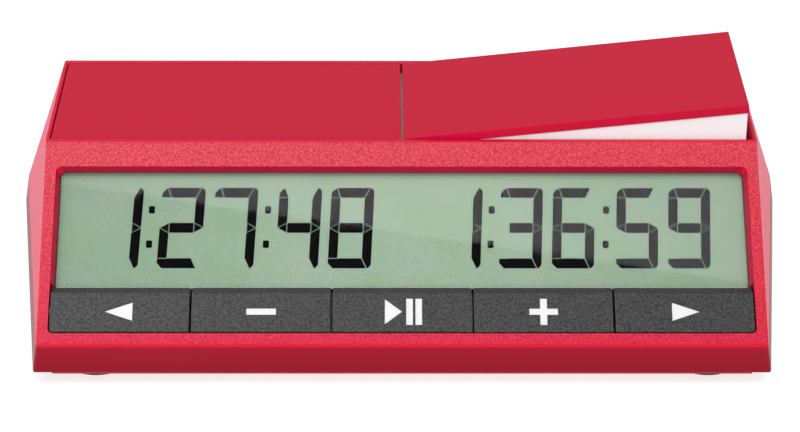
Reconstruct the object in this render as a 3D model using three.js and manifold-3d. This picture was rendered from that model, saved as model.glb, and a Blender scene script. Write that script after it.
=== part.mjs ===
// A compact digital chess clock: a wedge-shaped red case with a sloping display, five keys
// below the display and a two-sided rocker on top. Whoever has moved presses their own side
// of the rocker down, which lifts the other side.
//
// Millimetres, +Z up. The player-side face looks along -Y and +X is to its right.
// Everything is laid out in case coordinates, where Y = 0 is the front edge of the case and
// Z = 0 its lower rim. The exported group moves that to the middle of the footprint, with
// Z = 0 under the feet. Pieces of the sloping face lie in face coordinates: x across,
// s up the slope from its lower edge, and d along the outward normal, so d < 0 is inside.
import * as THREE from "three";
import { mergeVertices } from "three/addons/utils/BufferGeometryUtils.js";
import Module from "manifold-3d";

const wasm = await Module();
wasm.setup();

// ---- driving dimensions ---------------------------------------------------------------

// Case
const BAND_HEIGHT = 6.45; // upright strip below the sloping face
const SLOPE_LENGTH = 46.5;
const SLOPE_ANGLE = THREE.MathUtils.degToRad(38);
const TOP_DEPTH = 42.5; // level top, front to back
const TOP_HALF_WIDTH = 75.3;
const BOTTOM_HALF_WIDTH = 75.85; // at the lower front corner
const FLARE_BACK = 0.1297; // how the lower side facet widens per mm towards the back
const FLARE_UP = 0.1574; // and narrows per mm upwards
const UPPER_FLARE = 0.34; // how the upper side facet widens per mm downwards
const WALL = 2.0;
const RIM_WALL = 3.6; // thicker lower rim that surrounds the base plate
const RIM_HEIGHT = 3.0;
const CASE_DEPTH = SLOPE_LENGTH * Math.cos(SLOPE_ANGLE) + TOP_DEPTH;
const CASE_TOP = BAND_HEIGHT + SLOPE_LENGTH * Math.sin(SLOPE_ANGLE);
const TOP_FRONT = CASE_DEPTH - TOP_DEPTH;

// Rocker and its well
const SWING = THREE.MathUtils.degToRad(6.2);
const PIVOT_DEPTH = 6.0; // pivot axis below the flush cap
const PIVOT_Z = CASE_TOP - PIVOT_DEPTH;
const WELL_HALF_WIDTH = 74.6;
const WELL_FRONT = TOP_FRONT + 1.3;
const WELL_BACK = CASE_DEPTH - 1.5;
const WELL_DEPTH = 13.5;
const WELL_WALL = 1.6;
const WELL_FLOOR = CASE_TOP - WELL_DEPTH;
const CAP_HALF_WIDTH = 74.3;
const CAP_FRONT = WELL_FRONT + 0.3;
const CAP_BACK = WELL_BACK - 0.3;
const CAP_THICKNESS = 2.05;
const SEAM_LEFT = 0.05; // inner edge of each cap, measured with that cap pressed flush
const SEAM_RIGHT = 1.0;
const ROCKER_DEPTH = 12.0; // lowest edge of the rocker below the flush cap
const ROCKER_WALL = 1.6;
const ROCKER_INSET = 0.35; // rocker body behind the cap edges
const STUD_X = 58;
const AXLE_RADIUS = 1.5;
const SADDLE_YS = [WELL_FRONT + 6, WELL_BACK - 6];

// Sloping face: display opening and key row, in face coordinates
const KEY_COUNT = 5;
const KEY_ROW_HALF_WIDTH = 72.4;
const KEY_GAP = 0.35;
const KEY_ROW_CLEARANCE = 0.27;
const KEY_ROW_CORNER = 0.8; // round lower corners of the outer keys
const KEY_BOTTOM = 3.0;
const KEY_FACE_TOP = 11.7;
const KEY_TOP = 13.8;
const KEY_BEVEL_DROP = 2.0;
const KEY_FLANGE = [-3.6, -4.4];
const KEY_FLANGE_SPAN = [2.3, 14.8];
const KEY_TRAVEL = 0.7;
const OPENING_HALF_WIDTH = 72.7;
const OPENING_TOP = 40.7;
const OPENING_DRAFT = 0.75; // the sides come in by this much on their way to the glass
const OPENING_TOP_DRAFT = 0.45;
const OPENING_CORNER = 1.2;
const WINDOW_BOTTOM = 14.1;
const WINDOW = [-2.3, -3.3];
const LCD = [-3.5, -5.3];
const CARRIER = [-5.5, -6.5];
const BOARD = [-6.7, -8.3];
const BOARD_HALF_WIDTH = 66;
const BOARD_SPAN = [4.6, 36.4];
const ICON_POCKET = 0.3;
const ICON_CENTRE = 7.6;

// Base, feet, batteries and fasteners
const BASE_INSET = 3.9;
const BASE = [-0.6, 1.6];
const LIP = { x: 72, y0: 0.6, top: -0.1 }; // front lip of the base, under the rim
const FOOT_RADIUS = 7.5;
const FOOT_BOTTOM = -3.4;
const FEET = [
  ["foot_front_left", -63.5, 11.9],
  ["foot_front_right", 63.5, 11.9],
  ["foot_rear_left", -70, 66],
  ["foot_rear_right", 70, 66],
];
const CASE_SCREWS = [
  ["case_screw_front_left", -71, 24],
  ["case_screw_front_right", 71, 24],
  ["case_screw_rear_left", -74, 54],
  ["case_screw_rear_right", 74, 54],
];
const SCREW_BOSS_RADIUS = 3.0;
const BOARD_SCREWS = [
  ["board_screw_lower_left", -62, 17],
  ["board_screw_lower_right", 62, 17],
  ["board_screw_upper_left", -62, 34],
  ["board_screw_upper_right", 62, 34],
];
const CELL_RADIUS = 7.1;
const CELL_LENGTH = 50.3;
const CELL_Y = 65.6;
const CELL_Z = 9.4;
const TRAY = { x: 58.5, y0: 57.2, y1: 74.0, z0: 1.9, z1: 18.0, wall: 1.2 };
const DOOR = { x: 30, y0: 52.5, tabTop: 7.0 };
const POWER_X = -34;
const POWER_Y = 34;
const GAP = 0.3;

// ---- colours --------------------------------------------------------------------------

const plastic = (color, roughness = 0.5) =>
  new THREE.MeshStandardMaterial({ color, roughness, metalness: 0 });
const metal = (color, roughness = 0.3) =>
  new THREE.MeshStandardMaterial({ color, roughness, metalness: 1 });
const CASE_RED = 0xd8213f;
const CAP_RED = 0xb51c35;
const ROCKER_WHITE = 0xf2ebea;
const KEY_GREY = 0x444647;

// ---- solids ---------------------------------------------------------------------------

// A closed geometry, moved by an optional matrix, as a solid that can be joined and cut.
function solid(geometry, matrix) {
  const loose = geometry.index ? geometry.toNonIndexed() : geometry.clone();
  if (matrix) loose.applyMatrix4(matrix);
  loose.deleteAttribute("normal");
  loose.deleteAttribute("uv");
  const merged = mergeVertices(loose, 1e-4);
  return new wasm.Manifold(
    new wasm.Mesh({
      numProp: 3,
      vertProperties: merged.attributes.position.array,
      triVerts: new Uint32Array(merged.index.array),
    }),
  );
}

// The surface of a solid as a three.js geometry.
function geometryOf(body) {
  const mesh = body.getMesh();
  const geometry = new THREE.BufferGeometry();
  geometry.setAttribute(
    "position",
    new THREE.BufferAttribute(new Float32Array(mesh.vertProperties), 3),
  );
  geometry.setIndex(new THREE.BufferAttribute(new Uint32Array(mesh.triVerts), 1));
  geometry.computeVertexNormals();
  return geometry;
}

// A block given by its limits along x, y and z.
function block([x0, x1], [y0, y1], [z0, z1], matrix) {
  const geometry = new THREE.BoxGeometry(
    Math.abs(x1 - x0),
    Math.abs(y1 - y0),
    Math.abs(z1 - z0),
  );
  geometry.translate((x0 + x1) / 2, (y0 + y1) / 2, (z0 + z1) / 2);
  return solid(geometry, matrix);
}

// A round bar standing along Z, between two heights.
function postZ(x, y, radius, [z0, z1], sides = 24, matrix) {
  const length = Math.abs(z1 - z0);
  const geometry = new THREE.CylinderGeometry(radius, radius, length, sides);
  geometry.rotateX(Math.PI / 2);
  geometry.translate(x, y, (z0 + z1) / 2);
  return solid(geometry, matrix);
}

// A round bar lying along Y.
function barY(x, z, radius, [y0, y1], sides = 24) {
  const geometry = new THREE.CylinderGeometry(radius, radius, y1 - y0, sides);
  geometry.translate(x, (y0 + y1) / 2, z);
  return solid(geometry);
}

// A round bar lying along X.
function barX(y, z, radius, [x0, x1], sides = 24) {
  const geometry = new THREE.CylinderGeometry(radius, radius, x1 - x0, sides);
  geometry.rotateZ(-Math.PI / 2);
  geometry.translate((x0 + x1) / 2, y, z);
  return solid(geometry);
}

const shapeOf = (points) =>
  new THREE.Shape(points.map(([a, b]) => new THREE.Vector2(a, b)));

const extruded = (shape, depth, curveSegments = 6) =>
  new THREE.ExtrudeGeometry(shape, { depth, bevelEnabled: false, curveSegments });

// An outline in the XY plane, raised between two heights.
function plateZ(points, [z0, z1]) {
  const geometry = extruded(shapeOf(points), Math.abs(z1 - z0));
  geometry.translate(0, 0, Math.min(z0, z1));
  return solid(geometry);
}

// An outline in the YZ plane, drawn out along X.
const YZ_TO_X = new THREE.Matrix4().makeBasis(
  new THREE.Vector3(0, 1, 0),
  new THREE.Vector3(0, 0, 1),
  new THREE.Vector3(1, 0, 0),
);
function profileX(points, [x0, x1], matrix) {
  const geometry = extruded(shapeOf(points), x1 - x0);
  geometry.applyMatrix4(YZ_TO_X);
  geometry.translate(x0, 0, 0);
  return solid(geometry, matrix);
}

// An outline in the XZ plane, drawn out along Y.
function profileY(points, [y0, y1], matrix) {
  const geometry = extruded(shapeOf(points), y1 - y0);
  geometry.rotateX(Math.PI / 2);
  geometry.translate(0, y1, 0);
  return solid(geometry, matrix);
}

// Everything beyond the plane normal . p = distance, as a very large block.
function beyond(normal, distance) {
  const reach = 200;
  const unit = normal.clone().normalize();
  const turn = new THREE.Quaternion().setFromUnitVectors(new THREE.Vector3(1, 0, 0), unit);
  const place = unit.clone().multiplyScalar(distance / normal.length() + reach);
  const matrix = new THREE.Matrix4().compose(place, turn, new THREE.Vector3(1, 1, 1));
  return solid(new THREE.BoxGeometry(2 * reach, 2 * reach, 2 * reach), matrix);
}

const union = (bodies) => bodies.reduce((all, body) => all.add(body));
const cutAll = (body, tools) => tools.reduce((left, tool) => left.subtract(tool), body);

// Case coordinates of a point given in face coordinates.
const FACE = new THREE.Matrix4()
  .makeTranslation(0, 0, BAND_HEIGHT)
  .multiply(new THREE.Matrix4().makeRotationX(SLOPE_ANGLE));

// ---- the scene graph ------------------------------------------------------------------

const clock = new THREE.Group();
const caseGroup = new THREE.Group();
caseGroup.position.set(0, -CASE_DEPTH / 2, -FOOT_BOTTOM);
const faceGroup = new THREE.Group();
faceGroup.position.z = BAND_HEIGHT;
faceGroup.rotation.x = SLOPE_ANGLE;
const rockerGroup = new THREE.Group();
rockerGroup.position.z = PIVOT_Z;
caseGroup.add(faceGroup, rockerGroup);
clock.add(caseGroup);

function addPiece(group, name, body, material) {
  const mesh = new THREE.Mesh(geometryOf(body), material);
  mesh.name = name;
  group.add(mesh);
}

// ---- case -----------------------------------------------------------------------------

// The outer form of the case, or a form lying inset from it on every side, down to a given
// height: the side profile drawn across the clock and trimmed by two facets on each side.
function caseForm(inset, bottom) {
  const sin = Math.sin(SLOPE_ANGLE);
  const cos = Math.cos(SLOPE_ANGLE);
  const top = CASE_TOP - inset;
  const creaseZ = BAND_HEIGHT - (inset * (1 - sin)) / cos;
  const topFront = (inset + (top - BAND_HEIGHT) * cos) / sin;
  const reach = 100;
  const wedge = profileX(
    [
      [inset, bottom],
      [CASE_DEPTH - inset, bottom],
      [CASE_DEPTH - inset, top],
      [topFront, top],
      [inset, creaseZ],
    ],
    [-reach, reach],
  );
  const facets = [];
  for (const side of [-1, 1]) {
    const lower = new THREE.Vector3(side, -FLARE_BACK, FLARE_UP);
    const upper = new THREE.Vector3(side, 0, UPPER_FLARE);
    facets.push(beyond(lower, BOTTOM_HALF_WIDTH - inset * lower.length()));
    facets.push(
      beyond(upper, TOP_HALF_WIDTH + UPPER_FLARE * CASE_TOP - inset * upper.length()),
    );
  }
  return cutAll(wedge, facets);
}

// The key row as one slab with two round lower corners, grown by a clearance all round.
function keyRow(clearance, depths, matrix) {
  const w = KEY_ROW_HALF_WIDTH + clearance;
  const r = KEY_ROW_CORNER + clearance;
  const bottom = KEY_BOTTOM - clearance;
  const top = KEY_TOP + clearance;
  const shape = new THREE.Shape();
  shape.moveTo(-w, top);
  shape.lineTo(-w, bottom + r);
  shape.absarc(-w + r, bottom + r, r, Math.PI, 1.5 * Math.PI);
  shape.lineTo(w - r, bottom);
  shape.absarc(w - r, bottom + r, r, 1.5 * Math.PI, 2 * Math.PI);
  shape.lineTo(w, top);
  shape.closePath();
  const geometry = extruded(shape, Math.abs(depths[1] - depths[0]));
  geometry.translate(0, 0, Math.min(...depths));
  return solid(geometry, matrix);
}

// The opening for the display: an outline with two round upper corners that narrows
// towards the glass, joined to the opening of the key row.
function faceOpening() {
  const outer = 1;
  const inner = -4;
  const w = OPENING_HALF_WIDTH;
  const r = OPENING_CORNER;
  const shape = new THREE.Shape();
  shape.moveTo(-w, KEY_TOP - 1);
  shape.lineTo(w, KEY_TOP - 1);
  shape.lineTo(w, OPENING_TOP - r);
  shape.absarc(w - r, OPENING_TOP - r, r, 0, Math.PI / 2);
  shape.lineTo(-w + r, OPENING_TOP);
  shape.absarc(-w + r, OPENING_TOP - r, r, Math.PI / 2, Math.PI);
  shape.closePath();
  const display = extruded(shape, outer - inner);
  display.translate(0, 0, inner);
  const points = display.getAttribute("position");
  for (let i = 0; i < points.count; i += 1) {
    const depth = points.getZ(i) / WALL;
    points.setX(i, points.getX(i) * (1 + (OPENING_DRAFT * depth) / w));
    if (points.getY(i) > KEY_TOP) points.setY(i, points.getY(i) + OPENING_TOP_DRAFT * depth);
  }
  return solid(display, FACE).add(keyRow(KEY_ROW_CLEARANCE, [inner, outer], FACE));
}

// Two open saddles on the floor of the well carry the axle of the rocker.
function axleSaddles() {
  return SADDLE_YS.map((y) => {
    const width = 3.5;
    const slot = AXLE_RADIUS + 0.15;
    const saddle = block([-width, width], [y - 1.5, y + 1.5], [WELL_FLOOR - 0.5, PIVOT_Z + 0.6]);
    return cutAll(saddle, [
      barY(0, PIVOT_Z, slot, [y - 2, y + 2]),
      block([-slot, slot], [y - 2, y + 2], [PIVOT_Z, PIVOT_Z + 2]),
    ]);
  });
}

// A boss that takes a case screw, with a rib out to the side wall.
function screwBoss(x, y) {
  const top = y < TOP_FRONT ? 13 : WELL_FLOOR - 0.5;
  const out = Math.sign(x) * 90;
  return union([
    postZ(x, y, SCREW_BOSS_RADIUS, [BASE[1] + 0.3, top]),
    block([x, out], [y - 1, y + 1], [RIM_HEIGHT, top]),
  ]);
}

function upperHousing() {
  const outer = caseForm(0, 0);
  const shell = cutAll(outer, [
    caseForm(WALL, RIM_HEIGHT),
    caseForm(RIM_WALL, -1).intersect(block([-99, 99], [-1, 99], [-1, RIM_HEIGHT + 0.5])),
  ]);
  const wellBlock = block(
    [-WELL_HALF_WIDTH - WELL_WALL, WELL_HALF_WIDTH + WELL_WALL],
    [WELL_FRONT - WELL_WALL, CASE_DEPTH],
    [WELL_FLOOR - WELL_WALL, CASE_TOP],
  );
  const bosses = CASE_SCREWS.map(([, x, y]) => screwBoss(x, y));
  const filled = union([shell, wellBlock, ...bosses]).intersect(outer);
  const well = block(
    [-WELL_HALF_WIDTH, WELL_HALF_WIDTH],
    [WELL_FRONT, WELL_BACK],
    [WELL_FLOOR, CASE_TOP + 1],
  );
  const pilots = CASE_SCREWS.map(([, x, y]) => postZ(x, y, 1.5, [-1, 11], 16));
  const doorNotch = block(
    [-DOOR.x - GAP, DOOR.x + GAP],
    [CASE_DEPTH - RIM_WALL - 1, CASE_DEPTH + 1],
    [-1, DOOR.tabTop + GAP],
  );
  return cutAll(filled, [well, faceOpening(), ...pilots, doorNotch]).add(
    union(axleSaddles()),
  );
}

addPiece(caseGroup, "upper_housing", upperHousing(), plastic(CASE_RED, 0.45));

// ---- base -----------------------------------------------------------------------------

// The outline of the case at its lower rim, lying inset from it.
function baseOutline(inset) {
  const side = (y) => BOTTOM_HALF_WIDTH + FLARE_BACK * y - inset - GAP;
  const front = inset;
  const back = CASE_DEPTH - inset;
  return [
    [-side(front), front],
    [side(front), front],
    [side(back), back],
    [-side(back), back],
  ];
}

function basePlate() {
  const lip = block([-LIP.x, LIP.x], [LIP.y0, BASE_INSET + 1], [BASE[0], LIP.top]);
  const plate = plateZ(baseOutline(BASE_INSET), BASE).add(lip);
  const doorway = block(
    [-DOOR.x - GAP, DOOR.x + GAP],
    [DOOR.y0 - GAP, CASE_DEPTH],
    [BASE[0] - 1, BASE[1] + 1],
  );
  const holes = CASE_SCREWS.flatMap(([, x, y]) => [
    postZ(x, y, 1.5, [-2, 3], 16),
    postZ(x, y, 2.9, [-2, 0.9], 24),
  ]);
  const powerHole = postZ(POWER_X, POWER_Y, 3.5, [-2, 3]);
  const slots = [-8, -4, 0, 4, 8].map((x) =>
    block([x + 33, x + 34.2], [27, 41], [-2, 3]),
  );
  return cutAll(plate, [doorway, ...holes, powerHole, ...slots]);
}

addPiece(caseGroup, "base_plate", basePlate(), plastic(CASE_RED, 0.5));

// The battery door slides back out of the case. Its upright tab fills the notch at the foot
// of the back wall, and it has finger ridges across its underside.
function batteryDoor() {
  const panel = block([-DOOR.x, DOOR.x], [DOOR.y0, CASE_DEPTH], [BASE[0], 1.2]);
  const tab = block([-DOOR.x, DOOR.x], [CASE_DEPTH - WALL, CASE_DEPTH], [BASE[0], DOOR.tabTop]);
  const ridges = [0, 1, 2, 3].map((i) =>
    block([-9, 9], [58 + 2.4 * i, 59.2 + 2.4 * i], [BASE[0] - 1, BASE[0] + 0.4]),
  );
  return cutAll(panel.add(tab), ridges);
}

addPiece(caseGroup, "battery_door", batteryDoor(), plastic(CASE_RED, 0.5));

for (const [name, x, y] of FEET) {
  const profile = [
    [0, FOOT_BOTTOM],
    [FOOT_RADIUS - 0.7, FOOT_BOTTOM],
    [FOOT_RADIUS, FOOT_BOTTOM + 0.7],
    [FOOT_RADIUS, BASE[0] - 0.1],
    [0, BASE[0] - 0.1],
  ].map(([r, z]) => new THREE.Vector2(r, z));
  const foot = new THREE.LatheGeometry(profile, 28);
  foot.rotateX(Math.PI / 2);
  foot.translate(x, y, 0);
  addPiece(caseGroup, name, solid(foot), plastic(0x2a2a2b, 0.85));
}

// A pan-head screw along Z with a cross recess in its head, which is at the lower end.
function screw(x, y, headRadius, headZ, shankRadius, shankTop) {
  const head = postZ(x, y, headRadius, headZ, 20);
  const shank = postZ(x, y, shankRadius, [headZ[1] - 0.1, shankTop], 12);
  const arm = headRadius * 0.55;
  const recess = [headZ[0] - 1, headZ[0] + 0.6];
  return cutAll(head.add(shank), [
    block([x - arm, x + arm], [y - 0.35, y + 0.35], recess),
    block([x - 0.35, x + 0.35], [y - arm, y + arm], recess),
  ]);
}

for (const [name, x, y] of CASE_SCREWS) {
  addPiece(caseGroup, name, screw(x, y, 2.6, [-0.35, 0.75], 1.2, 9), metal(0x8d9093));
}

// ---- batteries ------------------------------------------------------------------------

function batteryTray() {
  const { x, y0, y1, z0, z1, wall } = TRAY;
  return cutAll(block([-x, x], [y0, y1], [z0, z1]), [
    block([-x + wall, x - wall], [y0 + wall, y1 - wall], [z0 - 1, z1 - wall]),
    block([-x - 1, -x + wall + 1], [CELL_Y - 1.2, CELL_Y + 1.2], [12, 14]),
    block([x - wall - 1, x + 1], [CELL_Y - 1.2, CELL_Y + 1.2], [12, 14]),
  ]);
}

addPiece(caseGroup, "battery_tray", batteryTray(), plastic(0x2f3032, 0.6));

// An AA cell along X, its button end towards +X.
function cell(x0) {
  const nubLength = 1.2;
  const can = barX(CELL_Y, CELL_Z, CELL_RADIUS, [x0, x0 + CELL_LENGTH - nubLength], 32);
  return can.add(
    barX(CELL_Y, CELL_Z, 2.7, [x0 + CELL_LENGTH - nubLength - 0.1, x0 + CELL_LENGTH], 20),
  );
}

const CELLS_START = -(2 * CELL_LENGTH + GAP) / 2 + 1.5;
addPiece(caseGroup, "battery_left", cell(CELLS_START), plastic(0x3a3d42, 0.4));
addPiece(
  caseGroup,
  "battery_right",
  cell(CELLS_START + CELL_LENGTH + GAP),
  plastic(0x3a3d42, 0.4),
);

// The negative contact is a plate with a conical coil spring, wound from one wire.
class ContactSpring extends THREE.Curve {
  getPoint(t, target = new THREE.Vector3()) {
    const turns = 3;
    const radius = THREE.MathUtils.lerp(4.6, 2.6, t);
    const angle = 2 * Math.PI * turns * t;
    return target.set(5 * t, radius * Math.cos(angle), radius * Math.sin(angle));
  }
}

function negativeContact() {
  const inside = -TRAY.x + TRAY.wall + 0.1;
  const plate = block([inside, inside + 0.5], [CELL_Y - 6, CELL_Y + 6], [3.4, 15.4]);
  const wire = shapeOf(
    [0, 1, 2, 3, 4, 5].map((i) => [
      0.4 * Math.cos((i * Math.PI) / 3),
      0.4 * Math.sin((i * Math.PI) / 3),
    ]),
  );
  const spring = new THREE.ExtrudeGeometry(wire, {
    steps: 42,
    extrudePath: new ContactSpring(),
  });
  spring.translate(inside + 0.4, CELL_Y, CELL_Z);
  return plate.add(solid(spring));
}

addPiece(caseGroup, "negative_contact", negativeContact(), metal(0xc4c7c9));

function positiveContact() {
  const inside = TRAY.x - TRAY.wall - 0.1;
  const cellEnd = CELLS_START + 2 * CELL_LENGTH + GAP;
  return block([inside - 0.5, inside], [CELL_Y - 6, CELL_Y + 6], [3.4, 15.4]).add(
    barX(CELL_Y, CELL_Z, 3, [cellEnd + GAP, inside - 0.4], 20),
  );
}

addPiece(caseGroup, "positive_contact", positiveContact(), metal(0xc4c7c9));

// Two thin leads run from the contacts, through the ends of the tray, to the main board.
function lead(side) {
  const path = new THREE.CatmullRomCurve3(
    [
      [side * (TRAY.x - TRAY.wall + 0.1), CELL_Y, 13],
      [side * (TRAY.x + 2.5), CELL_Y, 13],
      [side * (TRAY.x + 3.5), CELL_Y - 8, 11],
      [side * (TRAY.x + 1), CELL_Y - 18, 9],
      [side * (TRAY.x - 4), CELL_Y - 28, 8.5],
      [side * (TRAY.x - 8), CELL_Y - 38, 8.8],
    ].map((p) => new THREE.Vector3(...p)),
  );
  const ring = shapeOf(
    [0, 1, 2, 3, 4, 5, 6, 7].map((i) => [
      0.6 * Math.cos((i * Math.PI) / 4),
      0.6 * Math.sin((i * Math.PI) / 4),
    ]),
  );
  return solid(new THREE.ExtrudeGeometry(ring, { steps: 22, extrudePath: path }));
}

addPiece(caseGroup, "battery_lead_negative", lead(-1), plastic(0x1b1b1c, 0.5));
addPiece(caseGroup, "battery_lead_positive", lead(1), plastic(0xa81818, 0.5));

// ---- display and circuit board --------------------------------------------------------

// A slab in face coordinates.
const slab = (halfWidth, span, depths) => block([-halfWidth, halfWidth], span, depths);

const displayWindow = new THREE.MeshStandardMaterial({
  color: 0xdfe9e2,
  roughness: 0.05,
  transparent: true,
  opacity: 0.35,
});
addPiece(faceGroup, "display_window", slab(72.9, [WINDOW_BOTTOM, 41.2], WINDOW), displayWindow);

// The display is two sheets of glass: the lower one stands out under the upper one's edges
// to carry the contact ledges.
function lcdPanel() {
  const middle = (LCD[0] + LCD[1]) / 2;
  return slab(70.5, [15.4, 39.8], [LCD[0], middle]).add(
    slab(70.5, [14.9, 40.3], [middle, LCD[1]]),
  );
}

addPiece(faceGroup, "lcd_panel", lcdPanel(), plastic(0x9fb8a0, 0.35));

// A frame that holds the display, the board and their screws together.
function displayCarrier() {
  const frame = slab(70.5, [17.6, 38.0], CARRIER);
  const light = slab(56, [20, 32], [CARRIER[0] + 1, CARRIER[1] - 1]);
  const holes = BOARD_SCREWS.map(([, x, s]) => postZ(x, s, 1.3, [-4, -8], 12));
  return cutAll(frame, [light, ...holes]);
}

addPiece(faceGroup, "display_carrier", displayCarrier(), plastic(0xd9dad6, 0.6));

// Striped rubber strips carry the signals from the board to the display's ledges.
for (const [name, s] of [
  ["zebra_strip_lower", 15.2],
  ["zebra_strip_upper", 38.3],
]) {
  addPiece(
    faceGroup,
    name,
    slab(60, [s, s + 1.6], [CARRIER[0], CARRIER[1]]),
    plastic(0xb9a9a4, 0.7),
  );
}

function mainBoard() {
  const board = slab(BOARD_HALF_WIDTH, BOARD_SPAN, BOARD);
  const upperTab = slab(60.5, [BOARD_SPAN[1] - 0.5, 38.2], BOARD);
  const holes = BOARD_SCREWS.map(([, x, s]) => postZ(x, s, 1.3, [-5, -9], 12));
  return cutAll(board.add(upperTab), holes);
}

addPiece(faceGroup, "main_circuit_board", mainBoard(), plastic(0x1f6b3a, 0.5));

// A pan-head screw in face coordinates, its head behind the board.
function boardScrew(x, s) {
  const under = BOARD[1] - 0.1;
  const head = postZ(x, s, 2.1, [under - 1.2, under], 20);
  const shank = postZ(x, s, 1.0, [under - 0.1, CARRIER[0] - 0.1], 12);
  const recess = [under - 2, under - 0.7];
  return cutAll(head.add(shank), [
    block([x - 1.2, x + 1.2], [s - 0.3, s + 0.3], recess),
    block([x - 0.3, x + 0.3], [s - 1.2, s + 1.2], recess),
  ]);
}

for (const [name, x, s] of BOARD_SCREWS) {
  addPiece(faceGroup, name, boardScrew(x, s), metal(0x9a9da0));
}

// Components on the back of the board: a package with a row of legs on both long sides,
// a crystal can, an upright capacitor and a round buzzer.
const MOUNTED = BOARD[1] - 0.1;

function microcontroller() {
  const legs = [];
  for (let i = 0; i < 8; i += 1) {
    const x = -26 + 1.6 * i;
    legs.push(block([x, x + 0.6], [19, 31], [MOUNTED, MOUNTED - 0.5]));
  }
  return block([-27, -13], [20.5, 29.5], [MOUNTED - 0.4, MOUNTED - 1.9]).add(union(legs));
}

addPiece(faceGroup, "microcontroller", microcontroller(), plastic(0x1d1e20, 0.5));
addPiece(
  faceGroup,
  "crystal",
  block([-7, 3], [23, 27], [MOUNTED, MOUNTED - 2.8]),
  metal(0xb9bcbf),
);
addPiece(
  faceGroup,
  "capacitor",
  postZ(12, 24, 2.5, [MOUNTED, MOUNTED - 5.5], 24),
  plastic(0x24406e, 0.4),
);

function buzzer() {
  const can = postZ(33, 20, 6, [MOUNTED, MOUNTED - 5.5], 32);
  return can.subtract(postZ(33, 20, 1.2, [MOUNTED - 3.5, MOUNTED - 7], 16));
}

addPiece(faceGroup, "buzzer", buzzer(), plastic(0x1b1c1e, 0.5));

// ---- keys -----------------------------------------------------------------------------

const KEY_PITCH = (2 * KEY_ROW_HALF_WIDTH + KEY_GAP) / KEY_COUNT;
const KEY_HALF_WIDTH = (KEY_PITCH - KEY_GAP) / 2;
const keyCentre = (index) => (index - (KEY_COUNT - 1) / 2) * KEY_PITCH;
const around = (centre, half) => [centre - half, centre + half];

// The signs sunk into the key tops, as outlines about the middle of a key.
const arrow = (tip, tail, half) => [
  [tail, -half],
  [tail, half],
  [tip, 0],
];
const bar = (x0, x1, half) => [
  [x0, -half],
  [x1, -half],
  [x1, half],
  [x0, half],
];
const SIGNS = {
  key_back: [arrow(-3.25, 2.65, 2.1)],
  key_minus: [bar(-3.1, 3.1, 0.75)],
  key_play_pause: [arrow(0.0, -3.7, 2.9), bar(0.75, 2.2, 3.0), bar(2.65, 4.1, 3.0)],
  key_plus: [bar(-3.0, 3.0, 0.75), bar(-0.75, 0.75, 3.0)],
  key_forward: [arrow(3.25, -2.65, 2.1)],
};

// A key: a block with a sloped upper edge towards the display, a flange behind the case wall
// that keeps it in, a stem down to the rubber mat, and its sign sunk into the face.
function key(index, sign) {
  const x = keyCentre(index);
  const blank = profileX(
    [
      [KEY_BOTTOM, 0],
      [KEY_BOTTOM, KEY_FLANGE[1]],
      [KEY_TOP, KEY_FLANGE[1]],
      [KEY_TOP, -KEY_BEVEL_DROP],
      [KEY_FACE_TOP, 0],
    ],
    around(x, KEY_HALF_WIDTH),
  );
  const cap = blank.intersect(keyRow(0, [KEY_FLANGE[1] - 1, 1]));
  const flange = block(around(x, KEY_HALF_WIDTH), KEY_FLANGE_SPAN, KEY_FLANGE);
  const pockets = sign.map((outline) =>
    plateZ(
      outline.map(([a, b]) => [x + a, ICON_CENTRE + b]),
      [-ICON_POCKET, 1],
    ),
  );
  return cutAll(cap.add(flange), pockets);
}

Object.entries(SIGNS).forEach(([name, sign], index) => {
  addPiece(faceGroup, name, key(index, sign), plastic(KEY_GREY, 0.7));
});

// One silicone mat carries a domed pad under each key.
function keypadMat() {
  const sheet = slab(65, [4.8, 14.4], [BOARD[0] + 0.1, BOARD[0] + 0.8]);
  const pads = Object.keys(SIGNS).map((_, index) => {
    const profile = [
      [0, BOARD[0] + 0.5],
      [4.2, BOARD[0] + 0.5],
      [2.6, KEY_FLANGE[1] - KEY_TRAVEL - 0.3],
      [0, KEY_FLANGE[1] - KEY_TRAVEL - 0.3],
    ].map(([r, d]) => new THREE.Vector2(r, d));
    const dome = new THREE.LatheGeometry(profile, 20);
    dome.rotateX(Math.PI / 2);
    dome.translate(keyCentre(index), 9.2, 0);
    return solid(dome);
  });
  return sheet.add(union(pads));
}

addPiece(faceGroup, "keypad_mat", keypadMat(), plastic(0xbfc2c4, 0.8));

// ---- rocker ---------------------------------------------------------------------------

// In rocker coordinates the pivot is the origin. Both halves are alike: the left one lies
// flush with the case and the right one, its mirror image, is swung up.
const FLUSH = PIVOT_DEPTH;
const ROCKER_TOP = FLUSH - CAP_THICKNESS - 0.1;
const ROCKER_BOTTOM = FLUSH - ROCKER_DEPTH;
const ROCKER_Y = [CAP_FRONT + ROCKER_INSET, CAP_BACK - ROCKER_INSET];
const RAISE = new THREE.Matrix4().makeRotationY(-SWING);
const SENSOR_Y = (WELL_FRONT + WELL_BACK) / 2;
const SENSOR_BOARD = [WELL_FLOOR - PIVOT_Z + 0.1, WELL_FLOOR - PIVOT_Z + 0.9];

// The mirror image across the clock, swung up by the full travel.
function raised([x, z]) {
  const point = new THREE.Vector3(-x, 0, z).applyMatrix4(RAISE);
  return [point.x, point.z];
}

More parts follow.
